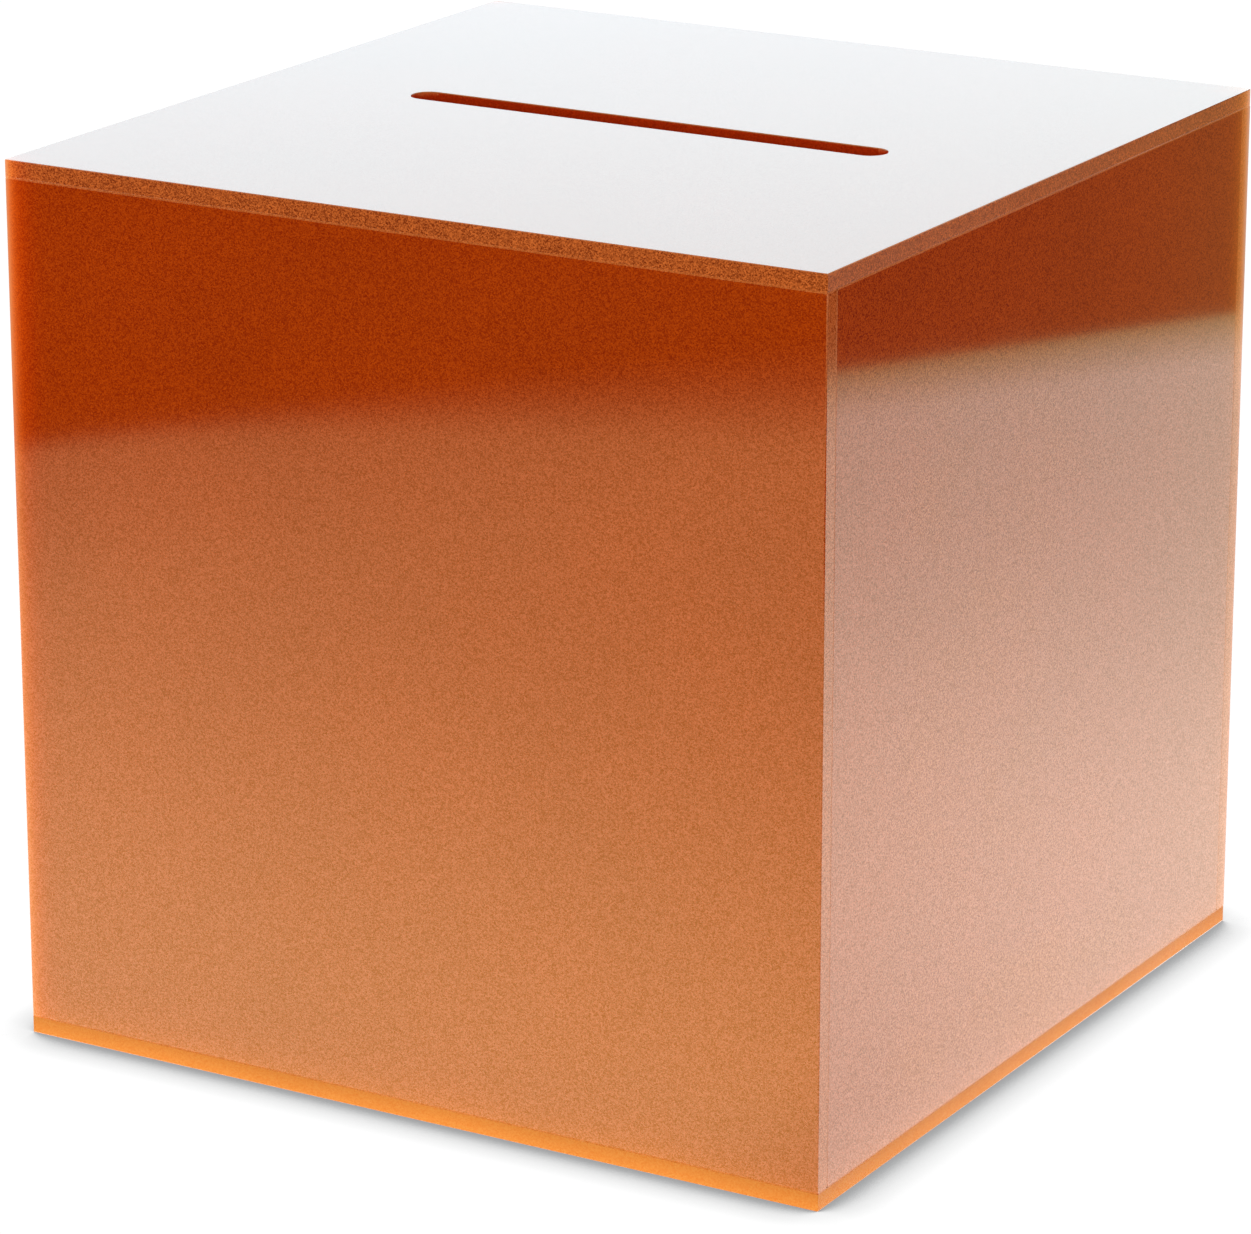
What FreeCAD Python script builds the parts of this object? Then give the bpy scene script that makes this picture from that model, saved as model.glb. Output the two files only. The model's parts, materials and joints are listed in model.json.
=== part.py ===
import FreeCAD, Part
import math
import os

# Donation box: a cube of cemented acrylic sheet with a slot in its top. A door in the back panel
# hangs on two butt hinges and is locked by a keyed cam lock.
# Frame: origin at the centre of the underside, +X to the right along the front, +Y to the back,
# +Z up. All lengths are in millimetres.

V = FreeCAD.Vector
RIGHT = V(1, 0, 0)
BACK = V(0, 1, 0)
FRONT = V(0, -1, 0)
UP = V(0, 0, 1)

# Box of sheet panels
SIDE = 200.0
SHEET = 4.0
HALF = SIDE / 2
INNER = HALF - SHEET

# Slot in the top panel, with half-round ends
SLOT_LENGTH = 120.0
SLOT_WIDTH = 8.0

# Doorway in the back panel, and the door that fills it flush
DOORWAY_WIDTH = 140.0
DOORWAY_HEIGHT = 140.0
DOORWAY_CENTRE_Z = SIDE / 2
DOORWAY_CORNER = 6.0
DOOR_GAP = 0.75

# Acrylic strips cemented inside the back panel: two that the door closes on, one behind the lock
STOP_LENGTH = 50.0
STOP_WIDTH = 13.0
STOP_OVERLAP = 5.0
STOP_END_X = 66.0
STRIKE_WIDTH = 14.0
STRIKE_HEIGHT = 30.0
STRIKE_INSET = 1.0

# M3 button-head screws and nuts of the hinges
SCREW_RADIUS = 1.5
SCREW_LENGTH = 8.0
SCREW_HOLE_RADIUS = 1.6
HEAD_RADIUS = 2.75
HEAD_HEIGHT = 1.5
HEAD_ROUNDING = 0.9
SOCKET_ACROSS_FLATS = 2.0
SOCKET_DEPTH = 0.9
NUT_ACROSS_FLATS = 5.5
NUT_HEIGHT = 2.4
NUT_BORE_RADIUS = 1.55
NUT_CHAMFER = 0.35

# Butt hinges: the pin stands behind the gap between the back panel and the door
LEAF_THICKNESS = 1.0
LEAF_WIDTH = 14.0
LEAF_CORNER = 2.0
KNUCKLES = 5
KNUCKLE_RADIUS = 2.5
KNUCKLE_LENGTH = 5.0
KNUCKLE_GAP = 0.25
KNUCKLE_CLEARANCE = 0.3
PIN_RADIUS = 1.25
PIN_CLEARANCE = 0.05
PIN_HEAD_RADIUS = 2.0
PIN_HEAD_HEIGHT = 0.8
PIN_HEAD_ROUNDING = 0.35
HINGE_SCREW_REACH = 8.6
HINGE_SCREW_SPACING = 14.0
HINGE_HEIGHTS = {"lower": 60.0, "upper": 140.0}
HINGE_X = -DOORWAY_WIDTH / 2 + DOOR_GAP / 2
HINGE_Y = HALF + KNUCKLE_RADIUS + KNUCKLE_CLEARANCE
LEAF_HEIGHT = KNUCKLES * KNUCKLE_LENGTH + (KNUCKLES - 1) * KNUCKLE_GAP

# Cam lock in the door
LOCK_X = 52.0
LOCK_Z = DOORWAY_CENTRE_Z
LOCK_HEAD_RADIUS = 10.0
LOCK_HEAD_HEIGHT = 3.5
LOCK_HEAD_ROUNDING = 1.2
BARREL_RADIUS = 8.0
BARREL_FLATS = 14.0
BARREL_LENGTH = 16.0
BARREL_HOLE_CLEARANCE = 0.15
BARREL_END_Y = HALF - BARREL_LENGTH
LOCK_WASHER_RADIUS = 11.0
LOCK_WASHER_THICKNESS = 1.0
LOCK_NUT_ACROSS_FLATS = 20.0
LOCK_NUT_HEIGHT = 3.0
LOCK_NUT_CHAMFER = 0.8
LOCK_THREAD_CLEARANCE = 0.1
PLUG_RADIUS = 5.45
PLUG_BORE_RADIUS = 5.5
PLUG_RECESS = 0.3
PLUG_FACE_Y = HALF + LOCK_HEAD_HEIGHT - PLUG_RECESS
TAIL_ACROSS_FLATS = 6.0
TAIL_CLEARANCE = 0.1

# Cam on the plug's square tail. It hangs down unlocked and points at the strike when locked.
CAM_THICKNESS = 2.0
CAM_WIDTH = 13.0
CAM_REACH = 28.0
CAM_EDGE_ROUNDING = 0.3
CAM_STRIKE_GAP = 0.5
CAM_FRONT_Y = BARREL_END_Y - CAM_THICKNESS
CAM_SCREW_RADIUS = 1.9
CAM_SCREW_HOLE_RADIUS = 1.95
CAM_SCREW_LENGTH = 7.0
CAM_SCREW_HEAD_RADIUS = 4.2
CAM_SCREW_HEAD_HEIGHT = 2.4
CAM_SCREW_HEAD_ROUNDING = 1.2
CAM_SCREW_SOCKET_ACROSS_FLATS = 3.0
CAM_SCREW_SOCKET_DEPTH = 1.4

# Key, standing fully in the plug with its blade upright
KEYWAY_WIDTH = 2.0
KEYWAY_HEIGHT = 6.8
KEYWAY_DEPTH = 12.0
KEY_THICKNESS = 1.7
BLADE_HEIGHT = 6.2
BLADE_END_GAP = 0.4
KEY_SHOULDER_GAP = 0.5
KEY_NECK_HEIGHT = 8.5
KEY_NECK_LENGTH = 5.0
BOW_RADIUS = 10.0
BOW_HOLE_RADIUS = 2.5
BOW_HOLE_REACH = 5.0
BITTING_DEPTHS = (1.6, 0.8, 2.0, 1.2)
BITTING_PITCH = 2.3
BITTING_FIRST = 1.9
KEY_SHOULDER_Y = PLUG_FACE_Y + KEY_SHOULDER_GAP
BLADE_TIP_Y = PLUG_FACE_Y - KEYWAY_DEPTH + BLADE_END_GAP
BOW_CENTRE_Y = KEY_SHOULDER_Y + KEY_NECK_LENGTH + BOW_RADIUS - 1.0


def block(x, y, z):
    """A box between the low and high value of each axis."""
    return Part.makeBox(x[1] - x[0], y[1] - y[0], z[1] - z[0], V(x[0], y[0], z[0]))


def edges_along(shape, direction):
    """The straight edges of a shape that run along a direction."""
    found = []
    for edge in shape.Edges:
        if isinstance(edge.Curve, Part.Line) and edge.tangentAt(0).cross(direction).Length < 1e-6:
            found.append(edge)
    return found


def rim_at(shape, y, radius):
    """The circular edges of a shape that lie at a depth y with that radius."""
    found = []
    for edge in shape.Edges:
        if isinstance(edge.Curve, Part.Circle):
            if abs(edge.Curve.Center.y - y) < 1e-6 and abs(edge.Curve.Radius - radius) < 1e-6:
                found.append(edge)
    return found


def fused(first, *others):
    """One solid from several that touch or overlap."""
    return first.fuse(list(others)).removeSplitter()


def upright_plate(x, y, z, corner):
    """A plate that stands across Y, with its four corners rounded."""
    plate = block(x, y, z)
    return plate.makeFillet(corner, edges_along(plate, BACK))


def hexagon(across_flats, height, centre):
    """A hexagonal prism that runs back from its centre point."""
    corner_radius = across_flats / math.sqrt(3)
    points = []
    for step in range(7):
        angle = math.radians(60 * step)
        offset = V(corner_radius * math.cos(angle), 0, corner_radius * math.sin(angle))
        points.append(centre + offset)
    return Part.Face(Part.makePolygon(points)).extrude(BACK * height)


def hexagon_nut(across_flats, height, bore_radius, chamfer, centre):
    """A nut that runs back from its centre point. The corners of its front side are chamfered."""
    corner_radius = across_flats / math.sqrt(3)
    envelope = Part.makeCylinder(corner_radius, height, centre, BACK)
    envelope = envelope.makeChamfer(chamfer, rim_at(envelope, centre.y, corner_radius))
    body = hexagon(across_flats, height, centre).common(envelope)
    return body.cut(Part.makeCylinder(bore_radius, height, centre, BACK))


def bottom_panel():
    return block((-HALF, HALF), (-HALF, HALF), (0, SHEET))


def top_panel():
    """The top, full width and depth over the walls, with the slot through it."""
    plate = block((-HALF, HALF), (-HALF, HALF), (SIDE - SHEET, SIDE))
    radius = SLOT_WIDTH / 2
    reach = SLOT_LENGTH / 2 - radius
    z = SIDE - SHEET
    outline = [
        Part.LineSegment(V(-reach, -radius, z), V(reach, -radius, z)),
        Part.Arc(V(reach, -radius, z), V(reach + radius, 0, z), V(reach, radius, z)),
        Part.LineSegment(V(reach, radius, z), V(-reach, radius, z)),
        Part.Arc(V(-reach, radius, z), V(-reach - radius, 0, z), V(-reach, -radius, z)),
    ]
    wire = Part.Wire([curve.toShape() for curve in outline])
    return plate.cut(Part.Face(wire).extrude(UP * SHEET))


def front_panel():
    return block((-HALF, HALF), (-HALF, -INNER), (SHEET, SIDE - SHEET))


def side_panel(side):
    """The left wall for side -1 and the right wall for side 1, between front and back panels."""
    across = sorted((side * INNER, side * HALF))
    return block(across, (-INNER, INNER), (SHEET, SIDE - SHEET))


def hinge_screw_places(side):
    """Where the hinge screws stand as (x, z), on the frame for side -1 and the door for side 1."""
    x = HINGE_X + side * HINGE_SCREW_REACH
    places = []
    for height in HINGE_HEIGHTS.values():
        places.append((x, height - HINGE_SCREW_SPACING / 2))
        places.append((x, height + HINGE_SCREW_SPACING / 2))
    return places


def hinge_screw_holes(side):
    """Cylinders that cut the screw holes of one side through sheet and leaf."""
    length = SHEET + LEAF_THICKNESS
    holes = []
    for x, z in hinge_screw_places(side):
        holes.append(Part.makeCylinder(SCREW_HOLE_RADIUS, length, V(x, INNER, z), BACK))
    return holes


def back_panel():
    """The back panel, a frame around the doorway."""
    panel = block((-HALF, HALF), (INNER, HALF), (SHEET, SIDE - SHEET))
    half_width = DOORWAY_WIDTH / 2
    half_height = DOORWAY_HEIGHT / 2
    across = (-half_width, half_width)
    height = (DOORWAY_CENTRE_Z - half_height, DOORWAY_CENTRE_Z + half_height)
    doorway = upright_plate(across, (INNER, HALF), height, DOORWAY_CORNER)
    return panel.cut([doorway] + hinge_screw_holes(-1))


def door_stop(side):
    """A strip that the door closes on, above the doorway for side 1 and below it for side -1."""
    edge = DOORWAY_CENTRE_Z + side * DOORWAY_HEIGHT / 2
    height = sorted((edge - side * STOP_OVERLAP, edge + side * (STOP_WIDTH - STOP_OVERLAP)))
    return block((STOP_END_X - STOP_LENGTH, STOP_END_X), (INNER - SHEET, INNER), height)


def lock_strike():
    """The block behind the doorway's edge that the locked cam catches on."""
    x = DOORWAY_WIDTH / 2 + STRIKE_INSET
    height = (LOCK_Z - STRIKE_HEIGHT / 2, LOCK_Z + STRIKE_HEIGHT / 2)
    return block((x, x + STRIKE_WIDTH), (BARREL_END_Y + CAM_STRIKE_GAP, INNER), height)


def barrel_section(clearance, start_y, length):
    """The barrel's round section with its two flats, grown by a clearance, running back."""
    centre = V(LOCK_X, start_y, LOCK_Z)
    radius = BARREL_RADIUS + clearance
    half_flats = BARREL_FLATS / 2 + clearance
    across = (LOCK_X - half_flats, LOCK_X + half_flats)
    flats = block(across, (start_y, start_y + length), (LOCK_Z - radius, LOCK_Z + radius))
    return Part.makeCylinder(radius, length, centre, BACK).common(flats)


def door_panel():
    """The door, flush in the doorway, with holes for the lock and the hinge screws."""
    half_width = DOORWAY_WIDTH / 2 - DOOR_GAP
    half_height = DOORWAY_HEIGHT / 2 - DOOR_GAP
    across = (-half_width, half_width)
    height = (DOORWAY_CENTRE_Z - half_height, DOORWAY_CENTRE_Z + half_height)
    panel = upright_plate(across, (INNER, HALF), height, DOORWAY_CORNER - DOOR_GAP)
    lock_hole = barrel_section(BARREL_HOLE_CLEARANCE, INNER, SHEET)
    return panel.cut([lock_hole] + hinge_screw_holes(1))


def hinge_leaf(centre_z, side):
    """A leaf of a hinge, on the frame for side -1 and the door for side 1. Their knuckles alternate."""
    reach = KNUCKLE_RADIUS + KNUCKLE_CLEARANCE
    across = sorted((HINGE_X + side * reach, HINGE_X + side * LEAF_WIDTH))
    depth = (HALF, HALF + LEAF_THICKNESS)
    bottom = centre_z - LEAF_HEIGHT / 2
    plate = block(across, depth, (bottom, bottom + LEAF_HEIGHT))
    far_x = HINGE_X + side * LEAF_WIDTH
    far_corners = [e for e in edges_along(plate, BACK) if abs(e.Vertexes[0].X - far_x) < 1e-6]
    plate = plate.makeFillet(LEAF_CORNER, far_corners)

    rolled = []
    first_knuckle = 0 if side < 0 else 1
    for index in range(first_knuckle, KNUCKLES, 2):
        z = bottom + index * (KNUCKLE_LENGTH + KNUCKLE_GAP)
        tongue = sorted((HINGE_X, HINGE_X + side * reach))
        rolled.append(block(tongue, depth, (z, z + KNUCKLE_LENGTH)))
        rolled.append(Part.makeCylinder(KNUCKLE_RADIUS, KNUCKLE_LENGTH, V(HINGE_X, HINGE_Y, z), UP))
    leaf = fused(plate, *rolled)

    pin_bore = Part.makeCylinder(
        PIN_RADIUS + PIN_CLEARANCE, LEAF_HEIGHT, V(HINGE_X, HINGE_Y, bottom), UP
    )
    return leaf.cut([pin_bore] + hinge_screw_holes(side))


def hinge_pin(centre_z):
    """A hinge pin with a rounded head beyond each end of the knuckles."""
    bottom = centre_z - LEAF_HEIGHT / 2
    solids = []
    for z in (bottom - PIN_HEAD_HEIGHT, bottom + LEAF_HEIGHT):
        head = Part.makeCylinder(PIN_HEAD_RADIUS, PIN_HEAD_HEIGHT, V(HINGE_X, HINGE_Y, z), UP)
        rims = [e for e in head.Edges if isinstance(e.Curve, Part.Circle)]
        solids.append(head.makeFillet(PIN_HEAD_ROUNDING, rims))
    shank = Part.makeCylinder(PIN_RADIUS, LEAF_HEIGHT, V(HINGE_X, HINGE_Y, bottom), UP)
    return fused(shank, *solids)


def hinge_screws(side):
    """The button-head screws through the leaves of one side, heads outside."""
    seat = HALF + LEAF_THICKNESS
    screws = []
    for x, z in hinge_screw_places(side):
        head = Part.makeCylinder(HEAD_RADIUS, HEAD_HEIGHT, V(x, seat, z), BACK)
        head = head.makeFillet(HEAD_ROUNDING, rim_at(head, seat + HEAD_HEIGHT, HEAD_RADIUS))
        shank = Part.makeCylinder(SCREW_RADIUS, SCREW_LENGTH, V(x, seat, z), FRONT)
        socket_base = V(x, seat + HEAD_HEIGHT - SOCKET_DEPTH, z)
        socket = hexagon(SOCKET_ACROSS_FLATS, SOCKET_DEPTH, socket_base)
        screws.append(fused(head, shank).cut(socket))
    return Part.makeCompound(screws)


def hinge_nuts(side):
    """The nuts on the hinge screws of one side, against the sheet's inner face."""
    y = INNER - NUT_HEIGHT
    nuts = []
    for x, z in hinge_screw_places(side):
        centre = V(x, y, z)
        nuts.append(hexagon_nut(NUT_ACROSS_FLATS, NUT_HEIGHT, NUT_BORE_RADIUS, NUT_CHAMFER, centre))
    return Part.makeCompound(nuts)


def lock_barrel():
    """The lock's housing: a round head outside the door, and the barrel through it."""
    head = Part.makeCylinder(LOCK_HEAD_RADIUS, LOCK_HEAD_HEIGHT, V(LOCK_X, HALF, LOCK_Z), BACK)
    face_rim = rim_at(head, HALF + LOCK_HEAD_HEIGHT, LOCK_HEAD_RADIUS)
    head = head.makeFillet(LOCK_HEAD_ROUNDING, face_rim)
    barrel = barrel_section(0, BARREL_END_Y, BARREL_LENGTH)
    bore_length = BARREL_LENGTH + LOCK_HEAD_HEIGHT
    bore = Part.makeCylinder(PLUG_BORE_RADIUS, bore_length, V(LOCK_X, BARREL_END_Y, LOCK_Z), BACK)
    return fused(head, barrel).cut(bore)


def lock_washer():
    centre = V(LOCK_X, INNER - LOCK_WASHER_THICKNESS, LOCK_Z)
    disc = Part.makeCylinder(LOCK_WASHER_RADIUS, LOCK_WASHER_THICKNESS, centre, BACK)
    return disc.cut(barrel_section(LOCK_THREAD_CLEARANCE, centre.y, LOCK_WASHER_THICKNESS))


def lock_nut():
    centre = V(LOCK_X, INNER - LOCK_WASHER_THICKNESS - LOCK_NUT_HEIGHT, LOCK_Z)
    bore_radius = BARREL_RADIUS + LOCK_THREAD_CLEARANCE
    return hexagon_nut(
        LOCK_NUT_ACROSS_FLATS, LOCK_NUT_HEIGHT, bore_radius, LOCK_NUT_CHAMFER, centre
    )


def tail_section(clearance, start_y, length):
    """The plug's square tail, grown by a clearance, running back."""
    half = TAIL_ACROSS_FLATS / 2 + clearance
    return block(
        (LOCK_X - half, LOCK_X + half), (start_y, start_y + length), (LOCK_Z - half, LOCK_Z + half)
    )


def lock_plug():
    """The turning core of the lock, with a keyway in its face and a square tail for the cam."""
    length = PLUG_FACE_Y - BARREL_END_Y
    core = Part.makeCylinder(PLUG_RADIUS, length, V(LOCK_X, BARREL_END_Y, LOCK_Z), BACK)
    tail_length = CAM_THICKNESS - TAIL_CLEARANCE
    tail = tail_section(0, BARREL_END_Y - tail_length, tail_length)
    keyway = block(
        (LOCK_X - KEYWAY_WIDTH / 2, LOCK_X + KEYWAY_WIDTH / 2),
        (PLUG_FACE_Y - KEYWAY_DEPTH, PLUG_FACE_Y),
        (LOCK_Z - KEYWAY_HEIGHT / 2, LOCK_Z + KEYWAY_HEIGHT / 2),
    )
    screw_hole = Part.makeCylinder(
        CAM_SCREW_HOLE_RADIUS, CAM_SCREW_LENGTH, V(LOCK_X, CAM_FRONT_Y, LOCK_Z), BACK
    )
    return fused(core, tail).cut([keyway, screw_hole])


def lock_cam():
    """The flat cam on the plug's tail, hanging down, with a half-round end."""
    radius = CAM_WIDTH / 2
    tip_z = LOCK_Z - CAM_REACH + radius
    depth = (CAM_FRONT_Y, CAM_FRONT_Y + CAM_THICKNESS)
    arm = block((LOCK_X - radius, LOCK_X + radius), depth, (tip_z, LOCK_Z))
    ends = []
    for z in (tip_z, LOCK_Z):
        ends.append(Part.makeCylinder(radius, CAM_THICKNESS, V(LOCK_X, CAM_FRONT_Y, z), BACK))
    cam = fused(arm, *ends)
    outline = [e for e in cam.Edges if abs(e.BoundBox.YLength) < 1e-6]
    cam = cam.makeFillet(CAM_EDGE_ROUNDING, outline)
    return cam.cut(tail_section(TAIL_CLEARANCE, CAM_FRONT_Y, CAM_THICKNESS))


def cam_screw():
    """The screw that holds the cam on the plug, head inside the box."""
    seat = V(LOCK_X, CAM_FRONT_Y, LOCK_Z)
    head = Part.makeCylinder(CAM_SCREW_HEAD_RADIUS, CAM_SCREW_HEAD_HEIGHT, seat, FRONT)
    far_rim = rim_at(head, CAM_FRONT_Y - CAM_SCREW_HEAD_HEIGHT, CAM_SCREW_HEAD_RADIUS)
    head = head.makeFillet(CAM_SCREW_HEAD_ROUNDING, far_rim)
    shank = Part.makeCylinder(CAM_SCREW_RADIUS, CAM_SCREW_LENGTH, seat, BACK)
    socket_base = seat + FRONT * CAM_SCREW_HEAD_HEIGHT
    socket = hexagon(CAM_SCREW_SOCKET_ACROSS_FLATS, CAM_SCREW_SOCKET_DEPTH, socket_base)
    return fused(head, shank).cut(socket)


def bitting_cuts():
    """Wedges that notch the lower edge of the key's blade."""
    edge_z = LOCK_Z - BLADE_HEIGHT / 2
    cuts = []
    for index, depth in enumerate(BITTING_DEPTHS):
        y = BLADE_TIP_Y + BITTING_FIRST + index * BITTING_PITCH
        half = BITTING_PITCH / 2
        x = LOCK_X - KEY_THICKNESS / 2
        corners = [V(x, y - half, edge_z), V(x, y + half, edge_z), V(x, y, edge_z + depth)]
        wedge = Part.Face(Part.makePolygon(corners + corners[:1]))
        cuts.append(wedge.extrude(RIGHT * KEY_THICKNESS))
    return cuts


def key():
    """A flat key: notched blade, neck and a round bow with a hole for a key ring."""
    thickness = (LOCK_X - KEY_THICKNESS / 2, LOCK_X + KEY_THICKNESS / 2)
    blade_z = (LOCK_Z - BLADE_HEIGHT / 2, LOCK_Z + BLADE_HEIGHT / 2)
    blade = block(thickness, (BLADE_TIP_Y, KEY_SHOULDER_Y), blade_z)
    neck_z = (LOCK_Z - KEY_NECK_HEIGHT / 2, LOCK_Z + KEY_NECK_HEIGHT / 2)
    neck = block(thickness, (KEY_SHOULDER_Y, BOW_CENTRE_Y), neck_z)
    bow = Part.makeCylinder(BOW_RADIUS, KEY_THICKNESS, V(thickness[0], BOW_CENTRE_Y, LOCK_Z), RIGHT)
    hole_y = BOW_CENTRE_Y + BOW_HOLE_REACH
    hole = Part.makeCylinder(BOW_HOLE_RADIUS, KEY_THICKNESS, V(thickness[0], hole_y, LOCK_Z), RIGHT)
    return fused(blade, neck, bow).cut(bitting_cuts() + [hole])


def all_parts():
    """Every separate piece of the box, by name."""
    parts = {
        "bottom_panel": bottom_panel(),
        "top_panel": top_panel(),
        "front_panel": front_panel(),
        "left_panel": side_panel(-1),
        "right_panel": side_panel(1),
        "back_panel": back_panel(),
        "door_stop_top": door_stop(1),
        "door_stop_bottom": door_stop(-1),
        "lock_strike": lock_strike(),
        "door_panel": door_panel(),
        "lock_barrel": lock_barrel(),
        "lock_washer": lock_washer(),
        "lock_nut": lock_nut(),
        "lock_plug": lock_plug(),
        "lock_cam": lock_cam(),
        "cam_screw": cam_screw(),
        "key": key(),
    }
    for place, height in HINGE_HEIGHTS.items():
        parts[place + "_hinge_frame_leaf"] = hinge_leaf(height, -1)
        parts[place + "_hinge_door_leaf"] = hinge_leaf(height, 1)
        parts[place + "_hinge_pin"] = hinge_pin(height)
    for owner, side in (("frame", -1), ("door", 1)):
        parts[owner + "_hinge_screws"] = hinge_screws(side)
        parts[owner + "_hinge_nuts"] = hinge_nuts(side)
    return parts


def main():
    os.makedirs("parts", exist_ok=True)
    for name, shape in all_parts().items():
        shape.exportStep("parts/" + name + ".step")
        print(name, "solids", len(shape.Solids), "volume", round(shape.Volume, 1), shape.isValid())


main()
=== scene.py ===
import json
import math

import bmesh
import bpy
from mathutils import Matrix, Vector


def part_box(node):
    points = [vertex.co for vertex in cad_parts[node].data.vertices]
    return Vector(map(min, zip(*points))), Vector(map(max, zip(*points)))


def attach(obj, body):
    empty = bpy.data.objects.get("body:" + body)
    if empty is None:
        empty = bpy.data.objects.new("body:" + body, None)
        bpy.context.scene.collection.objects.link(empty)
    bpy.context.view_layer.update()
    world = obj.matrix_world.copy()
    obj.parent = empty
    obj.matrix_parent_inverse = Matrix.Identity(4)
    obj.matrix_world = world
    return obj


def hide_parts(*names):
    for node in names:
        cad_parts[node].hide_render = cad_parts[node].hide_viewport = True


# Looks of the donation box: a cube of orange translucent acrylic sheet with polished faces, satin
# machined edges and cemented joints, and the metal hinges, fasteners, lock and key of its rear door.
# All lengths are in metres, in the frame's own axes. Colours are linear.

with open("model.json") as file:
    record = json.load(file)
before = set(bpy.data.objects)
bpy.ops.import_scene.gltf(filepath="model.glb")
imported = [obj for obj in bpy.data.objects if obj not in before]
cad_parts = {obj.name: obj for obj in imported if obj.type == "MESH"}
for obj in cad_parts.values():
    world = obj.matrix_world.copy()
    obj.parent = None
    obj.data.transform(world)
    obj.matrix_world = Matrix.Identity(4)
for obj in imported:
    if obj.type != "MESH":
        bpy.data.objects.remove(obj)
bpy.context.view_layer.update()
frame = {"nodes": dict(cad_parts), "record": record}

MM = 0.001
WHITE = (1.0, 1.0, 1.0, 1.0)

# Sizes read from the frame
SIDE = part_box("bottom_panel")[1].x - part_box("bottom_panel")[0].x
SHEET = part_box("bottom_panel")[1].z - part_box("bottom_panel")[0].z
HALF = SIDE / 2

# Camera: its place and aim in sides of the cube from the centre of the underside
CAMERA_PLACE = Vector((3.0906, -5.3073, 2.3606))
CAMERA_AIM = Vector((-0.0081, -0.0275, 0.4375))
CAMERA_LENS_MM = 164.26
SENSOR_WIDTH_MM = 36.0
CAMERA_SEES_TO = 100.0

# Clean-up of the CAD meshes: vertices this near are one, and faces this near to level with each other are
# one; after the bevels, edges shorter than a sliver go
JOIN_DISTANCE = 0.0001 * MM
FLAT_ANGLE = math.radians(0.3)
SLIVER = 0.0008 * MM

# Edge treatment of the pieces
PANEL_BEVEL = 0.20 * MM
HARDWARE_BEVEL = 0.12 * MM
BEVEL_SEGMENTS = 2
SHARP_ANGLE = math.radians(35)
FLAT_FACE_AREA = 60 * MM * MM
EDGE_TILT = math.sin(math.radians(10))
BEAD_RECESS = 0.015 * MM
BEAD_DEPTH = 0.24 * MM

# Screw thread of the lock barrel: its outside radius and the distance of its flats are the barrel's own.
# The barrel shrinks to its core's share where it is wider than a share of its flats, and the threaded
# sleeve reaches a little way into the core.
LOCK_AXIS = Vector((52 * MM, 0, 100 * MM))
BARREL_RADIUS = 8 * MM
BARREL_FLAT = 7 * MM
CORE_SHARE = 0.90
CORE_MARGIN = 0.1 * MM
CORE_FROM = 0.98
SLEEVE_SHARE = 0.97
THREAD_PITCH = 1.4 * MM
THREAD_DEPTH = 0.6 * MM
THREAD_START = 84.1 * MM
THREAD_END = 95.1 * MM
THREAD_SIDES = 72
ROWS_PER_TURN = 8

# Orange acrylic: the darkest and lightest grain of each kind of surface
FACE_COLOURS = ((0.265, 0.013, 0.0), (0.520, 0.058, 0.0))
SIDE_COLOURS = ((0.215, 0.006, 0.0), (0.575, 0.066, 0.002))
# The inside faces carry painted light: they are much lighter than the outer faces, as if lit through the
# sheet.
INSIDE_PAINTED_LIGHT_COLOURS = ((0.760, 0.150, 0.010), (0.920, 0.250, 0.030))
SLOT_COLOURS = ((0.510, 0.025, 0.001), (0.750, 0.056, 0.005))
MACHINED_COLOURS = ((0.170, 0.010, 0.0), (0.640, 0.132, 0.020))
BUTT_COLOURS = ((0.260, 0.024, 0.0), (0.680, 0.136, 0.022))
# The foot edge's colours and fade are a painted glow: brightest at the bottom, as if lit through the sheet
# from the floor.
FOOT_PAINTED_GLOW_COLOURS = ((0.88, 0.242, 0.034), (0.95, 0.340, 0.062))
FOOT_PAINTED_GLOW_FADE = (1.10, 0.82)
CEMENT_COLOURS = ((0.38, 0.060, 0.006), (0.60, 0.140, 0.026))
GRAIN_SIZE = 0.25 * MM
ACRYLIC_IOR = 1.50
ACRYLIC_TINT = (1.0, 0.54, 0.0, 1.0)
CLOUD_SIZE = 50 * MM
CLOUD_SHADES = (0.96, 1.04)
SMEAR_SIZE = 18 * MM
SMEAR_NOISE = (0.35, 0.65)
SMEAR_SHARES = (0.92, 1.08)
BRIGHTEST = (0.97, 0.97, 0.97)

# Noises: the values between which most of one lies, and how rough its detail is
NOISE_SPAN = (0.3, 0.7)
NOISE_ROUGHNESS = 0.6

# Metals by material slot: name, colour, roughness, stretch and size of the brushed lines, and tarnish
METALS = {
    "hinge_steel": ("brushed_stainless", (0.36, 0.36, 0.365), 0.30, (1, 1, 12), 2.4 * MM, 0.1),
    "fastener_steel": ("turned_steel", (0.33, 0.33, 0.335), 0.25, (1, 8, 1), 1.2 * MM, 0.1),
    "lock_chrome": ("chrome_plate", (0.42, 0.42, 0.43), 0.10, (1, 1, 1), 6 * MM, 0.05),
    "lock_brass": ("turned_brass", (0.42, 0.30, 0.12), 0.25, (1, 6, 1), 1.5 * MM, 0.15),
    "zinc_steel": ("zinc_plate", (0.33, 0.34, 0.35), 0.38, (1, 1, 1), 1.5 * MM, 0.2),
    "key_nickel": ("nickel_plate", (0.40, 0.385, 0.35), 0.22, (1, 6, 1), 2.0 * MM, 0.15),
}
THREAD_METAL = ("thread_plating", (0.22, 0.22, 0.225), 0.28, (1, 1, 1), 2.0 * MM, 0.2)
BLOTCH_SIZE = 5 * MM
LINE_SHADES = (0.85, 1.1)
LINE_ROUGHNESS = (0.8, 1.25)
LINE_BUMP = 0.15
LINE_DEPTH = 0.02 * MM

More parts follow.
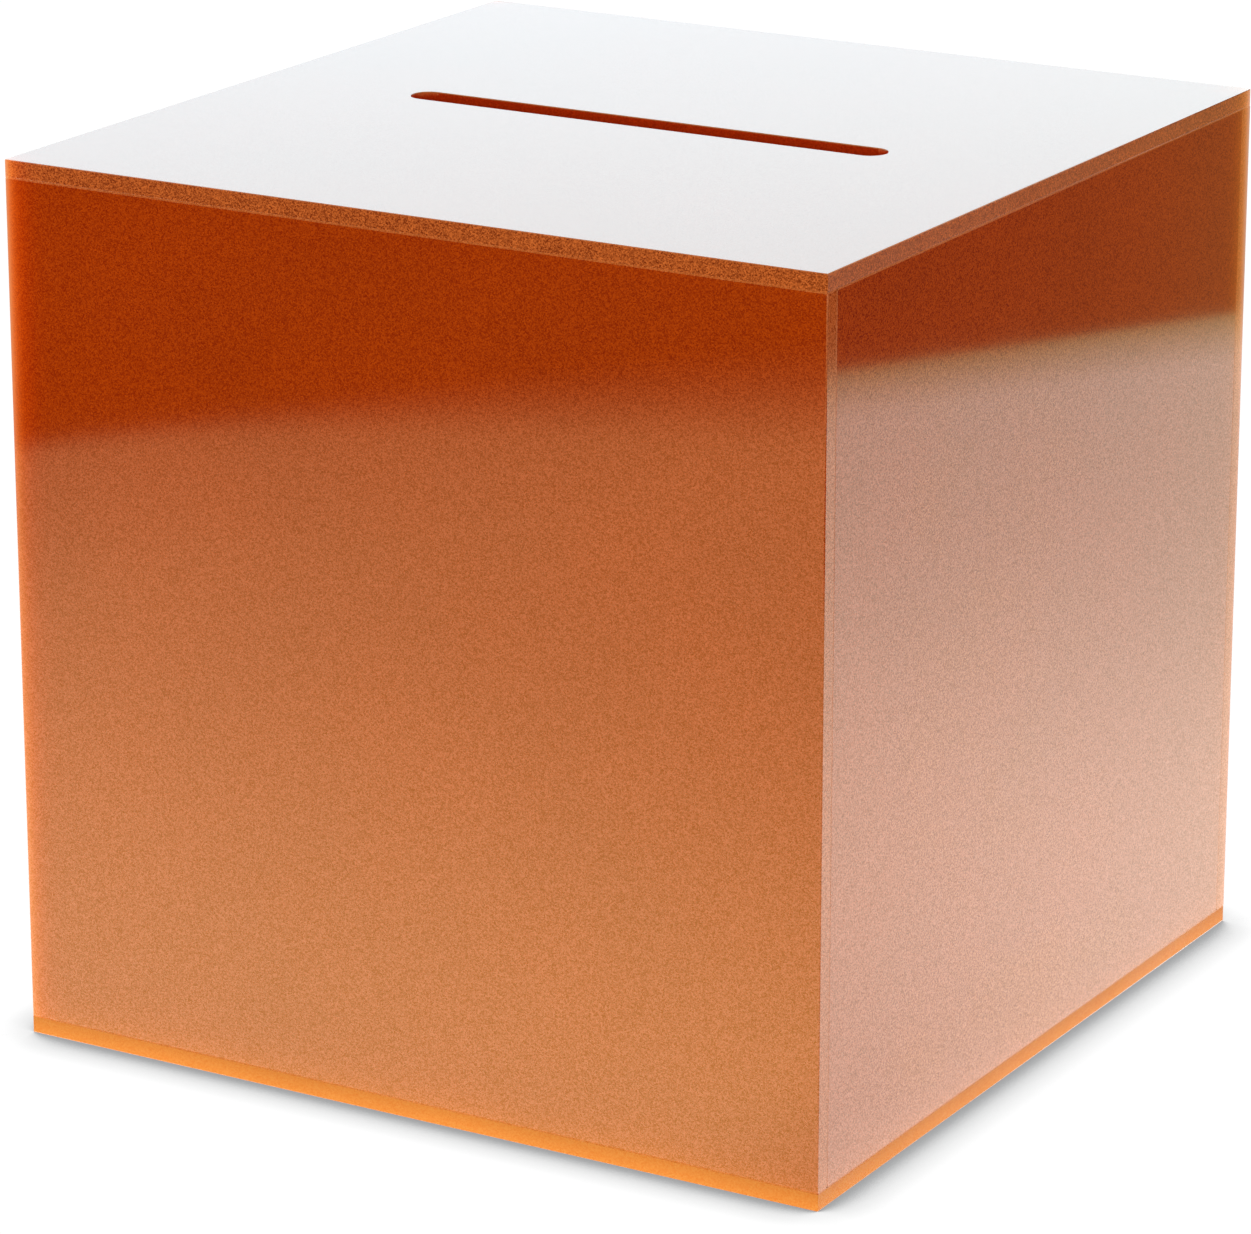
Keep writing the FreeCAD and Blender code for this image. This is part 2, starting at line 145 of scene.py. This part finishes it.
# Light that the sheet carries from its lit corners: its colour, the share that each further millimetre
# leaves, and the share of it low down; and the light that it carries up from its foot
LEFT_GLOW = ((0.84, 0.36, 0.20), (0.66, 0.42, 0.20), 0.62)
BACK_GLOW = ((0.85, 0.42, 0.40), (0.70, 0.65, 0.40), 0.35)
# A wide, faint painted glow that fades slowly from the back right corner, the same at all heights.
BACK_WIDE_GLOW = ((0.045, 0.053, 0.013), (0.988, 0.988, 0.988), 1.0)
GLOWING_CORNERS = ((-1, -1, LEFT_GLOW), (-1, 1, LEFT_GLOW), (1, 1, BACK_GLOW), (1, 1, BACK_WIDE_GLOW))
GLOW_HEIGHTS = (0.58, 0.82)
FOOT_GLOW_COLOUR = (0.47, 0.14, 0.0)
FOOT_GLOW_PER_MM = (0.75, 0.72, 0.5)

# Studio. The paper's places and widths are in sides of the cube, across and along the camera's view.
PAPER_START = -2.975
PAPER_END = 3.05
PAPER_LENGTH = 40.0
PAPER_LEVEL = 1.08
PAPER_RIGHT_LEVEL = 1.22
PAPER_FRONT_SPOT = 1.50
PAPER_FRONT_REACH = 1.2
PAPER_RIGHT_SPOT = 0.72
PAPER_RIGHT_CENTRE = (0.5, 0.6, 0.0)
PAPER_RIGHT_REACH = 1.2
PAPER_TURNS = (0.25, 0.65)
PAPER_LEFT_SOFTENS = (-1.2, -2.4)
PAPER_LEFT_POWER = 1.6
PAPER_LEFT_WIDTH = 0.12
PAPER_LEFT_WIDENS = 0.85
PAPER_LEFT_FADE = 0.70
PAPER_LEFT_FADE_WIDTH = 0.8
PAPER_COOLS_FROM = 1.0
PAPER_FAR_COLOUR = (0.77, 1.01, 1.05)
PAPER_EDGE_COLOUR = (0.27, 0.47, 0.27)
PAPER_EDGE_WIDTH = 0.25
SKY_GLOSS = (1.9, 1.9, 1.9, 1.0)
SKY_LOW_GLOSS = (1.4, 1.4, 1.4, 1.0)
SKY_CARD_GLOSS = (1.56, 1.87, 2.05, 1.0)
SKY_CARD_INNER = math.cos(math.radians(14))
SKY_CARD_OUTER = math.cos(math.radians(32))
SKY_STARTS = (math.sin(math.radians(-2)), math.sin(math.radians(4)))
SKY_BRIGHTENS = (math.sin(math.radians(15)), math.sin(math.radians(40)))
SURROUND_GLOSS = (0.03, 0.03, 0.03, 1.0)
SKY_LIGHT = 1.0
SKY_LIGHT_OVERHEAD = 0.35
LIGHT_FROM = Vector((-0.5, -0.86, 0.0))
LIGHT_FROM_SHARE = 0.35
FLOOR_LIGHT = 1.03
FLOOR_REACH = 150
SHADOW_REACH = 16 * MM
SHADOW_SAMPLES = 16
SHADOW_STOPS = ((0.50, (0.34, 0.345, 0.35)), (0.75, (0.84, 0.84, 0.84)), (0.95, (1, 1, 1)))


# ---------------------------------------------------------------- node helpers

def add(tree, kind, settings=None, **inputs):
    """Adds a shader node. Settings are its own properties; inputs are values or sockets to link,
    named as the sockets are, with _ for a space."""
    node = tree.nodes.new("ShaderNode" + kind)
    for name, value in (settings or {}).items():
        setattr(node, name, value)
    for name, value in inputs.items():
        put(tree, node.inputs[name.replace("_", " ")], value)
    return node


def put(tree, socket, value):
    """Links a socket to the input, or sets the input to a value."""
    if isinstance(value, bpy.types.NodeSocket):
        tree.links.new(value, socket)
    else:
        socket.default_value = value


def maths(tree, operation, *values):
    """A Math node's result."""
    node = add(tree, "Math", {"operation": operation})
    for socket, value in zip(node.inputs, values):
        put(tree, socket, value)
    return node.outputs[0]


def vector_maths(tree, operation, *values):
    """A Vector Math node's result. A single number stands for all three of a vector's."""
    node = add(tree, "VectorMath", {"operation": operation})
    sockets = [node.inputs[0], node.inputs["Scale"]] if operation == "SCALE" else node.inputs
    for socket, value in zip(sockets, values):
        put(tree, socket, value)
    return node.outputs["Value" if operation in ("DISTANCE", "DOT_PRODUCT") else "Vector"]


def mixed(tree, factor, first, second):
    """The colour that a Mix node gives from two colours."""
    node = tree.nodes.new("ShaderNodeMix")
    node.data_type = "RGBA"
    put(tree, node.inputs[0], factor)
    put(tree, node.inputs[6], first)
    put(tree, node.inputs[7], second)
    return node.outputs[2]


def noise(tree, coordinates, size, detail):
    """A noise value whose features are about that size in metres."""
    return add(
        tree, "TexNoise", Vector=coordinates, Scale=1 / size, Detail=detail, Roughness=NOISE_ROUGHNESS
    ).outputs[0]


def speckle(tree, coordinates, size):
    """A random value from 0 to 1 for each grain of about that size in metres."""
    cells = add(tree, "TexVoronoi", Vector=coordinates, Scale=1 / size)
    return add(tree, "SeparateColor", Color=cells.outputs["Color"]).outputs[0]


def ranged(tree, value, from_low, from_high, to_low, to_high, smooth=False):
    """The value carried from one range to another, and clamped to it."""
    node = add(tree, "MapRange", {"interpolation_type": "SMOOTHSTEP" if smooth else "LINEAR"})
    for socket, number in zip(node.inputs, (value, from_low, from_high, to_low, to_high)):
        put(tree, socket, number)
    return node.outputs[0]


def rgba(colour):
    return (*colour, 1.0)


def new_material(name):
    """An empty node material. Gives the material, its tree and the object coordinates."""
    material = bpy.data.materials.new(name)
    material.use_nodes = True
    material.node_tree.nodes.clear()
    tree = material.node_tree
    coordinates = add(tree, "TexCoord").outputs["Object"]
    return material, tree, coordinates


def output(tree, shader):
    add(tree, "OutputMaterial", Surface=shader.outputs[0])


# ---------------------------------------------------------------- materials

def carried(tree, distance, colour, per_mm):
    """Light of that colour after that distance through the sheet."""
    millimetres = maths(tree, "DIVIDE", distance, MM)
    return vector_maths(tree, "MULTIPLY", vector_maths(tree, "POWER", per_mm, millimetres), colour)


def edge_glow(tree, coordinates):
    """The light that the sheet carries to a point from the cube's lit corners and from its foot."""
    separate = add(tree, "SeparateXYZ", Vector=coordinates)
    plan = add(tree, "CombineXYZ", X=separate.outputs[0], Y=separate.outputs[1]).outputs[0]
    low, high = (share * SIDE for share in GLOW_HEIGHTS)
    glow = carried(tree, separate.outputs[2], FOOT_GLOW_COLOUR, FOOT_GLOW_PER_MM)
    for x, y, (colour, per_mm, low_share) in GLOWING_CORNERS:
        distance = vector_maths(tree, "DISTANCE", plan, (x * HALF, y * HALF, 0))
        share = ranged(tree, separate.outputs[2], low, high, low_share, 1.0, smooth=True)
        light = vector_maths(tree, "SCALE", carried(tree, distance, colour, per_mm), share)
        glow = vector_maths(tree, "ADD", light, glow)
    return glow


def acrylic(name, colours, roughness=0.058, specular=1.09, coat=0.62, coat_grain=0.62, glows=True,
            painted_glow_fade=(1.0, 1.0)):
    """Orange acrylic: a fine two-colour grain with soft clouds, glowing borders and a tinted gloss. The
    fade is a painted glow: its brightness at the bottom and at the top of the foot."""
    material, tree, coordinates = new_material(name)
    grain = speckle(tree, coordinates, GRAIN_SIZE)
    cloud = ranged(tree, noise(tree, coordinates, CLOUD_SIZE, detail=1.0), *NOISE_SPAN, *CLOUD_SHADES)
    colour = mixed(tree, grain, rgba(colours[0]), rgba(colours[1]))
    height = add(tree, "SeparateXYZ", Vector=coordinates).outputs[2]
    # Random tone clouds, times the painted glow of the fade: from its first share at the bottom of the sheet
    # to its second at the top.
    shade = maths(tree, "MULTIPLY", cloud, ranged(tree, height, 0.0, SHEET, *painted_glow_fade))
    colour = vector_maths(tree, "SCALE", colour, shade)
    if glows:
        colour = vector_maths(tree, "ADD", colour, edge_glow(tree, coordinates))
    colour = vector_maths(tree, "MINIMUM", colour, BRIGHTEST)
    smears = noise(tree, coordinates, SMEAR_SIZE, detail=3.0)
    bsdf = add(tree, "BsdfPrincipled", Base_Color=colour)
    smooth, rough = (roughness * share for share in SMEAR_SHARES)
    put(tree, bsdf.inputs["Roughness"], ranged(tree, smears, *SMEAR_NOISE, smooth, rough))
    low, high = coat * (1 - coat_grain), coat * (1 + coat_grain)
    put(tree, bsdf.inputs["Coat Weight"], ranged(tree, grain, 0.0, 1.0, low, high))
    bsdf.inputs["IOR"].default_value = ACRYLIC_IOR
    bsdf.inputs["Specular IOR Level"].default_value = specular
    bsdf.inputs["Specular Tint"].default_value = ACRYLIC_TINT
    bsdf.inputs["Coat Roughness"].default_value = roughness
    output(tree, bsdf)
    return material


def metal(name, colour, roughness, brushing, brush_size, tarnish):
    """Metal with brushed or turned lines, as stretched noise, and a faint uneven tarnish."""
    material, tree, coordinates = new_material(name)
    stretched = add(tree, "Mapping", Vector=coordinates)
    stretched.inputs["Scale"].default_value = brushing
    lines = noise(tree, stretched.outputs[0], brush_size, detail=3.0)
    blotches = noise(tree, coordinates, BLOTCH_SIZE, detail=4.0)
    line_shade = ranged(tree, lines, *NOISE_SPAN, *LINE_SHADES)
    blotch_shade = ranged(tree, blotches, *NOISE_SPAN, 1 - tarnish, 1.0)
    shade = maths(tree, "MULTIPLY", line_shade, blotch_shade)
    bsdf = add(tree, "BsdfPrincipled", Base_Color=vector_maths(tree, "SCALE", colour, shade))
    bsdf.inputs["Metallic"].default_value = 1.0
    smooth, rough = (roughness * share for share in LINE_ROUGHNESS)
    put(tree, bsdf.inputs["Roughness"], ranged(tree, lines, *NOISE_SPAN, smooth, rough))
    bump = add(tree, "Bump", Height=lines, Strength=LINE_BUMP, Distance=LINE_DEPTH)
    put(tree, bsdf.inputs["Normal"], bump.outputs[0])
    output(tree, bsdf)
    return material


# ---------------------------------------------------------------- pieces

def copy_of(node):
    """The node's own mesh as an editable bmesh, with its split vertices and flat triangles joined."""
    bm = bmesh.new()
    bm.from_mesh(frame["nodes"][node].data)
    bmesh.ops.remove_doubles(bm, verts=bm.verts, dist=JOIN_DISTANCE)
    bmesh.ops.dissolve_limit(bm, angle_limit=FLAT_ANGLE, verts=bm.verts, edges=bm.edges)
    return bm


def bevel(bm, width):
    """Rounds the sharp edges."""
    sharp = [e for e in bm.edges if e.is_manifold and e.calc_face_angle() > SHARP_ANGLE]
    bmesh.ops.bevel(
        bm, geom=sharp, offset=width, segments=BEVEL_SEGMENTS, profile=0.5, affect="EDGES",
        clamp_overlap=True,
    )


def finished(bm, name, body, materials, replaced=()):
    """Makes the piece, and rides it on its body. Small faces are smooth and large ones stay flat."""
    bmesh.ops.remove_doubles(bm, verts=bm.verts, dist=SLIVER)
    bmesh.ops.dissolve_degenerate(bm, edges=bm.edges, dist=SLIVER)
    for face in bm.faces:
        face.smooth = face.calc_area() < FLAT_FACE_AREA
    for edge in bm.edges:
        edge.smooth = not edge.is_manifold or edge.calc_face_angle() < SHARP_ANGLE
    mesh = bpy.data.meshes.new(name)
    bm.to_mesh(mesh)
    bm.free()
    for material in materials:
        mesh.materials.append(material)
    piece = bpy.data.objects.new(name, mesh)
    bpy.context.scene.collection.objects.link(piece)
    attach(piece, body)
    if replaced:
        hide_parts(*replaced)


def surface_kind(face, thin_axis):
    """0 for a broad face of a sheet and its bevels, 1 for its outer edges, 2 for the edges of a cut-out and
    3 for a broad face inside the box."""
    centre = face.calc_center_median()
    aside = max(abs(centre.x), abs(centre.y))
    if abs(face.normal[thin_axis]) < EDGE_TILT:
        return 1 if aside > HALF - SHEET / 4 else 2
    return 3 if max(aside, abs(centre.z - HALF)) < HALF - SHEET / 2 else 0


def sheet_panel(node, body, thin_axis, materials):
    """A panel of sheet, with the materials of its broad faces, outer edges, cut-outs and inside."""
    bm = copy_of(node)
    bevel(bm, PANEL_BEVEL)
    for face in bm.faces:
        face.material_index = surface_kind(face, thin_axis)
    finished(bm, node + "_sheet", body, materials, (node,))


def add_bead(bm, start, end, outward):
    """A three-sided bead of cement from start to end, nearly flush in the groove of a joint."""
    along = (end - start).normalized()
    aside = along.cross(outward) * PANEL_BEVEL
    section = (aside - outward * BEAD_RECESS, -outward * BEAD_DEPTH, -aside - outward * BEAD_RECESS)
    first = [bm.verts.new(start + point) for point in section]
    last = [bm.verts.new(end + point) for point in section]
    bm.faces.new(first)
    bm.faces.new(last[::-1])
    for k in range(3):
        bm.faces.new((first[k - 1], last[k - 1], last[k], first[k]))


def cement_beads(material):
    """The cement in the outer joints: round the foot, round under the top, and up the two sides."""
    bm = bmesh.new()
    reach = HALF - PANEL_BEVEL
    for z in (SHEET, SIDE - SHEET):
        for outward in (Vector((0, -1, 0)), Vector((1, 0, 0)), Vector((0, 1, 0)), Vector((-1, 0, 0))):
            across = Vector((-outward.y, outward.x, 0)) * reach
            centre = outward * HALF + Vector((0, 0, z))
            add_bead(bm, centre - across, centre + across, outward)
    for x in (-HALF, HALF):
        for y in (SHEET - HALF, HALF - SHEET):
            bottom, top = Vector((x, y, SHEET)), Vector((x, y, SIDE - SHEET))
            add_bead(bm, bottom, top, Vector((math.copysign(1, x), 0, 0)))
    bmesh.ops.recalc_face_normals(bm, faces=bm.faces)
    finished(bm, "joint_cement", "box", (material,))


def hardware(node, body, material):
    """A metal piece with its sharp edges eased."""
    bm = copy_of(node)
    if node == "lock_barrel":
        shrink_core(bm)
    bevel(bm, HARDWARE_BEVEL)
    finished(bm, node + "_eased", body, (material,), (node,))


def shrink_core(bm):
    """Makes room on the lock barrel for its thread."""
    plane = Vector((0, THREAD_END, 0))
    everything = list(bm.verts) + list(bm.edges) + list(bm.faces)
    bmesh.ops.bisect_plane(bm, geom=everything, plane_co=plane, plane_no=(0, 1, 0))
    for vert in bm.verts:
        outward = vert.co - LOCK_AXIS
        outward.y = 0
        if vert.co.y < THREAD_END + CORE_MARGIN and outward.length > BARREL_FLAT * CORE_FROM:
            vert.co -= outward * (1 - CORE_SHARE)


def thread_ring(bm, y, depth, share=1.0):
    """A ring of vertices round the lock barrel, with its thread cut to that depth and its two flats."""
    verts = []
    flat = BARREL_FLAT * share
    for k in range(THREAD_SIDES):
        angle = math.tau * k / THREAD_SIDES
        turn = y / THREAD_PITCH - k / THREAD_SIDES
        radius = BARREL_RADIUS * share - depth * (0.5 - 0.5 * math.cos(math.tau * turn))
        x = max(-flat, min(flat, radius * math.cos(angle)))
        verts.append(bm.verts.new(LOCK_AXIS + Vector((x, y, radius * math.sin(angle)))))
    return verts


def barrel_thread(material):
    """The screw thread of the lock barrel, as a threaded sleeve over its core."""
    bm = bmesh.new()
    inner_share = CORE_SHARE * SLEEVE_SHARE
    rows = round((THREAD_END - THREAD_START) / THREAD_PITCH * ROWS_PER_TURN)
    rings = [thread_ring(bm, THREAD_START, 0.0, inner_share)]
    for row in range(rows + 1):
        y = THREAD_START + (THREAD_END - THREAD_START) * row / rows
        rings.append(thread_ring(bm, y, THREAD_DEPTH))
    rings.append(thread_ring(bm, THREAD_END, 0.0, inner_share))
    for here, there in zip(rings, rings[1:] + rings[:1]):
        for k in range(THREAD_SIDES):
            bm.faces.new((here[k - 1], here[k], there[k], there[k - 1]))
    bmesh.ops.recalc_face_normals(bm, faces=bm.faces)
    finished(bm, "lock_barrel_thread", "door", (material,))


# ---------------------------------------------------------------- studio

def stage_plane(name, corners, material):
    mesh = bpy.data.meshes.new(name)
    mesh.from_pydata(corners, [], [(0, 1, 2, 3)])
    mesh.materials.append(material)
    plane = bpy.data.objects.new(name, mesh)
    bpy.context.scene.collection.objects.link(plane)
    return plane


def floor_material():
    """Pale, evenly lit floor with a painted contact shadow: to the camera it looks darker only where
    something stands close over it.
    """
    material, tree, _ = new_material("floor_paper")
    seen = add(tree, "LightPath").outputs["Is Camera Ray"]
    closeness = add(tree, "AmbientOcclusion", {"samples": SHADOW_SAMPLES}, Distance=SHADOW_REACH)
    ramp = add(tree, "ValToRGB", Fac=closeness.outputs["AO"])
    ramp.color_ramp.interpolation = "EASE"
    stops = ramp.color_ramp.elements
    stops.remove(stops[1])
    stops[0].position = SHADOW_STOPS[0][0]
    stops[0].color = rgba(SHADOW_STOPS[0][1])
    for position, colour in SHADOW_STOPS[1:]:
        stops.new(position).color = rgba(colour)
    shade = mixed(tree, seen, WHITE, ramp.outputs[0])
    output(tree, add(tree, "Emission", Color=shade, Strength=FLOOR_LIGHT))
    return material


def spot(tree, distance, reach):
    """A soft round falloff with distance."""
    scaled = maths(tree, "DIVIDE", distance, reach * SIDE)
    return maths(tree, "EXPONENT", maths(tree, "MULTIPLY", maths(tree, "POWER", scaled, 2.0), -1.0))


def paper_material(along, across):
    """The lit paper as polished faces mirror it: brightest before the box, cooler far to the right, and
    dying off at its edges, to a warmer light on the right and more softly on the left near the camera."""
    material, tree, coordinates = new_material("mirrored_paper")
    separate = add(tree, "SeparateXYZ", Vector=coordinates)
    x, y = separate.outputs[0], separate.outputs[1]
    before = maths(tree, "ABSOLUTE", maths(tree, "ADD", y, HALF))
    front = maths(tree, "MULTIPLY_ADD", spot(tree, before, PAPER_FRONT_REACH), PAPER_FRONT_SPOT, PAPER_LEVEL)
    centre = [number * SIDE for number in PAPER_RIGHT_CENTRE]
    beside = vector_maths(tree, "DISTANCE", coordinates, centre)
    right = maths(
        tree, "MULTIPLY_ADD", spot(tree, beside, PAPER_RIGHT_REACH), PAPER_RIGHT_SPOT, PAPER_RIGHT_LEVEL
    )
    turns_from, turns_to = (place * SIDE for place in PAPER_TURNS)
    is_right = ranged(tree, x, turns_from, turns_to, 0.0, 1.0, smooth=True)
    level = add(tree, "Mix", Factor=is_right, A=front, B=right).outputs[0]

    aside = maths(tree, "DIVIDE", vector_maths(tree, "DOT_PRODUCT", coordinates, (*across, 0)), SIDE)
    ahead = maths(tree, "DIVIDE", vector_maths(tree, "DOT_PRODUCT", coordinates, (*along, 0)), SIDE)
    softness = maths(tree, "POWER", ranged(tree, ahead, *PAPER_LEFT_SOFTENS, 0.0, 1.0), PAPER_LEFT_POWER)
    width = maths(tree, "MULTIPLY_ADD", softness, PAPER_LEFT_WIDENS, PAPER_LEFT_WIDTH)
    rise = maths(tree, "DIVIDE", maths(tree, "SUBTRACT", aside, PAPER_START), width)
    left_edge = ranged(tree, rise, 0.0, 1.0, 0.0, 1.0, smooth=True)
    faded_to = PAPER_START + PAPER_LEFT_FADE_WIDTH
    left_fade = ranged(tree, aside, PAPER_START, faded_to, PAPER_LEFT_FADE, 1.0)
    for share in (left_edge, left_fade):
        level = maths(tree, "MULTIPLY", level, share)
    cooling = ranged(tree, aside, PAPER_COOLS_FROM, PAPER_END, 0.0, 1.0)
    colour = mixed(tree, cooling, WHITE, rgba(PAPER_FAR_COLOUR))
    right_edge = ranged(tree, aside, PAPER_END - PAPER_EDGE_WIDTH, PAPER_END, 0.0, 1.0)
    colour = mixed(tree, right_edge, colour, rgba(PAPER_EDGE_COLOUR))
    output(tree, add(tree, "Emission", Color=colour, Strength=level))
    return material


def make_floor():
    """The floor that the camera sees, and the band of paper that gloss mirrors."""
    far = FLOOR_REACH * SIDE
    corners = [(-far, -far, 0), (far, -far, 0), (far, far, 0), (-far, far, 0)]
    floor = stage_plane("studio_floor", corners, floor_material())
    floor.visible_glossy = False

    along = (CAMERA_AIM - CAMERA_PLACE).to_2d().normalized()
    across = Vector((along.y, -along.x))
    corners = []
    for side, end in ((PAPER_START, -1), (PAPER_END, -1), (PAPER_END, 1), (PAPER_START, 1)):
        point = (across * side + along * end * PAPER_LENGTH / 2) * SIDE
        corners.append((point.x, point.y, 0))
    paper = stage_plane("mirrored_paper", corners, paper_material(along, across))
    paper.visible_camera = False
    paper.visible_diffuse = False
    paper.visible_transmission = False
    paper.visible_shadow = False


def mirrored_sky(tree, direction, height):
    """What gloss sees: dark surroundings up to the horizon, then a sky that brightens with height, and a
    cooler card where the top mirrors it to the camera."""
    view = (CAMERA_AIM - CAMERA_PLACE).normalized()
    towards_card = (view.x, view.y, -view.z)
    nearness = vector_maths(tree, "DOT_PRODUCT", direction, towards_card)
    on_card = ranged(tree, nearness, SKY_CARD_OUTER, SKY_CARD_INNER, 0.0, 1.0, smooth=True)
    high = ranged(tree, height, *SKY_BRIGHTENS, 0.0, 1.0, smooth=True)
    sky = mixed(tree, on_card, mixed(tree, high, SKY_LOW_GLOSS, SKY_GLOSS), SKY_CARD_GLOSS)
    above = ranged(tree, height, *SKY_STARTS, 0.0, 1.0, smooth=True)
    return add(tree, "Background", Color=mixed(tree, above, SURROUND_GLOSS, sky))


def lighting_sky(tree, direction, height):
    """What lights the box: an even sky, dimmer overhead and a little brighter from the front."""
    towards = vector_maths(tree, "DOT_PRODUCT", direction, LIGHT_FROM)
    level = maths(tree, "MULTIPLY_ADD", towards, LIGHT_FROM_SHARE, SKY_LIGHT)
    overhead = ranged(tree, height, 0.0, 1.0, 1.0, SKY_LIGHT_OVERHEAD)
    return add(tree, "Background", Strength=maths(tree, "MULTIPLY", level, overhead), Color=WHITE)


def make_sky():
    """Soft light from all round, with plain white behind the box."""
    world = bpy.data.worlds.new("soft_sky")
    world.use_nodes = True
    tree = world.node_tree
    tree.nodes.clear()
    direction = add(tree, "TexCoord").outputs["Generated"]
    height = add(tree, "SeparateXYZ", Vector=direction).outputs[2]
    ray = add(tree, "LightPath")
    shown = add(tree, "Background", Color=WHITE, Strength=1.0)
    shader = lighting_sky(tree, direction, height).outputs[0]
    for is_ray, seen in (
        ("Is Glossy Ray", mirrored_sky(tree, direction, height)), ("Is Camera Ray", shown),
    ):
        both = add(tree, "MixShader")
        for socket, value in zip(both.inputs, (ray.outputs[is_ray], shader, seen.outputs[0])):
            put(tree, socket, value)
        shader = both.outputs[0]
    add(tree, "OutputWorld", Surface=shader)
    bpy.context.scene.world = world


def make_camera():
    data = bpy.data.cameras.new("camera")
    data.lens = CAMERA_LENS_MM
    data.sensor_width = SENSOR_WIDTH_MM
    data.clip_end = CAMERA_SEES_TO
    camera = bpy.data.objects.new("camera", data)
    bpy.context.scene.collection.objects.link(camera)
    camera.location = CAMERA_PLACE * SIDE
    direction = CAMERA_AIM - CAMERA_PLACE
    camera.rotation_euler = direction.to_track_quat("-Z", "Y").to_euler()
    bpy.context.scene.camera = camera


# ---------------------------------------------------------------- the scene

def make_box():
    face = acrylic("acrylic_polished", FACE_COLOURS)
    side = acrylic("acrylic_polished_side", SIDE_COLOURS)
    top = acrylic("acrylic_clean_top", FACE_COLOURS, coat_grain=0.06)
    # Inside faces: painted light, much lighter than the outside, as if lit through the sheet.
    inside_painted_light = acrylic("acrylic_inside_painted_light", INSIDE_PAINTED_LIGHT_COLOURS, glows=False)
    slot = acrylic("acrylic_slot_wall", SLOT_COLOURS, roughness=0.2, specular=0.5, coat=0.2, glows=False)
    machined = acrylic("acrylic_machined", MACHINED_COLOURS, roughness=0.30, specular=0.35, coat=0.1)
    butt = acrylic("acrylic_butt_edge", BUTT_COLOURS, roughness=0.09, specular=0.9, coat=0.5)
    # Foot edge: a painted glow, brighter at the bottom than at the top of the foot.
    foot = acrylic(
        "acrylic_foot_edge_painted_glow", FOOT_PAINTED_GLOW_COLOURS, roughness=0.45, specular=0.2, coat=0.03, glows=False,
        painted_glow_fade=FOOT_PAINTED_GLOW_FADE,
    )
    for node, body, thin_axis, materials in (
        ("bottom_panel", "box", 2, (face, foot, machined, inside_painted_light)),
        ("top_panel", "box", 2, (top, machined, slot, inside_painted_light)),
        ("front_panel", "box", 1, (face, butt, machined, inside_painted_light)),
        ("back_panel", "box", 1, (face, butt, machined, inside_painted_light)),
        ("left_panel", "box", 0, (side, machined, machined, inside_painted_light)),
        ("right_panel", "box", 0, (side, machined, machined, inside_painted_light)),
        ("door_stop_top", "box", 1, (face, machined, machined, face)),
        ("door_stop_bottom", "box", 1, (face, machined, machined, face)),
        ("lock_strike", "box", 1, (face, machined, machined, face)),
        ("door_panel", "door", 1, (face, machined, machined, face)),
    ):
        sheet_panel(node, body, thin_axis, materials)
    cement_beads(acrylic("solvent_cement", CEMENT_COLOURS, roughness=0.15, specular=0.6, coat=0.2))


def make_hardware():
    finishes = {slot: metal(*look) for slot, look in METALS.items()}
    slots = {part["node"]: part["material_slot"] for part in frame["record"]["subparts"]}
    for body, nodes in frame["record"]["behaviour"]["bodies"].items():
        for node in nodes:
            if slots[node] in finishes:
                hardware(node, body, finishes[slots[node]])
    barrel_thread(metal(*THREAD_METAL))


make_camera()
make_sky()
make_floor()
make_box()
make_hardware()
bpy.context.scene.view_settings.view_transform = "Standard"
